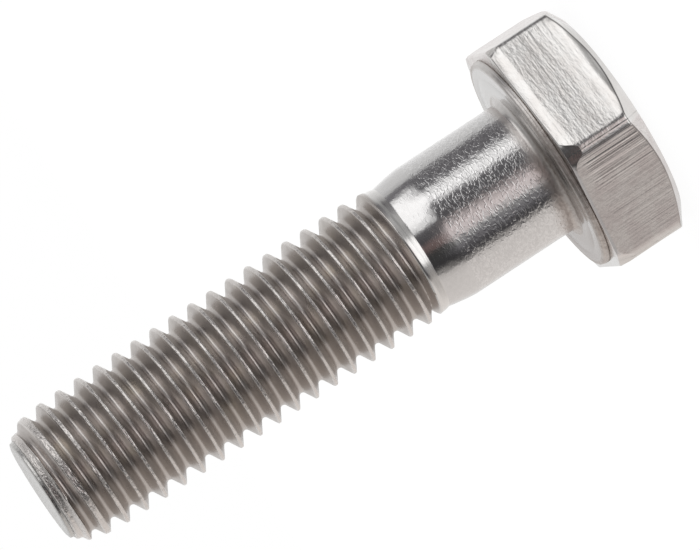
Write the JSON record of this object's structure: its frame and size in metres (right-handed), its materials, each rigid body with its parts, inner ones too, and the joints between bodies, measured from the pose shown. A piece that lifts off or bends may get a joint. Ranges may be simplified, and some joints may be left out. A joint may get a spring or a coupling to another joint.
{
  "type": "hex bolt",
  "caption": "Partly threaded M10 hex bolt with a washer-faced head, plain shank, shoulder, right-hand thread and chamfered end.",
  "frame": {"origin": "centre of the bearing face under the head, from which the bolt's length is measured", "axes": "+Z along the bolt's axis, from the head towards the threaded end; two of the six flats face +Y and -Y"},
  "size_m": [0.0194, 0.0168, 0.046],
  "materials": {
    "head_steel": "brushed and barrelled stainless steel",
    "collar_steel": "turned stainless steel, slightly browned",
    "shank_steel": "bright drawn stainless steel",
    "thread_steel": "rolled stainless steel thread",
    "point_steel": "cut stainless steel end"
  },
  "bodies": {
    "root": {"hex_head": "head_steel", "washer_face": "collar_steel", "underhead_fillet": "collar_steel", "plain_shank": "shank_steel", "shoulder": "shank_steel", "thread": "thread_steel", "chamfered_point": "point_steel"}
  },
  "joints": []
}
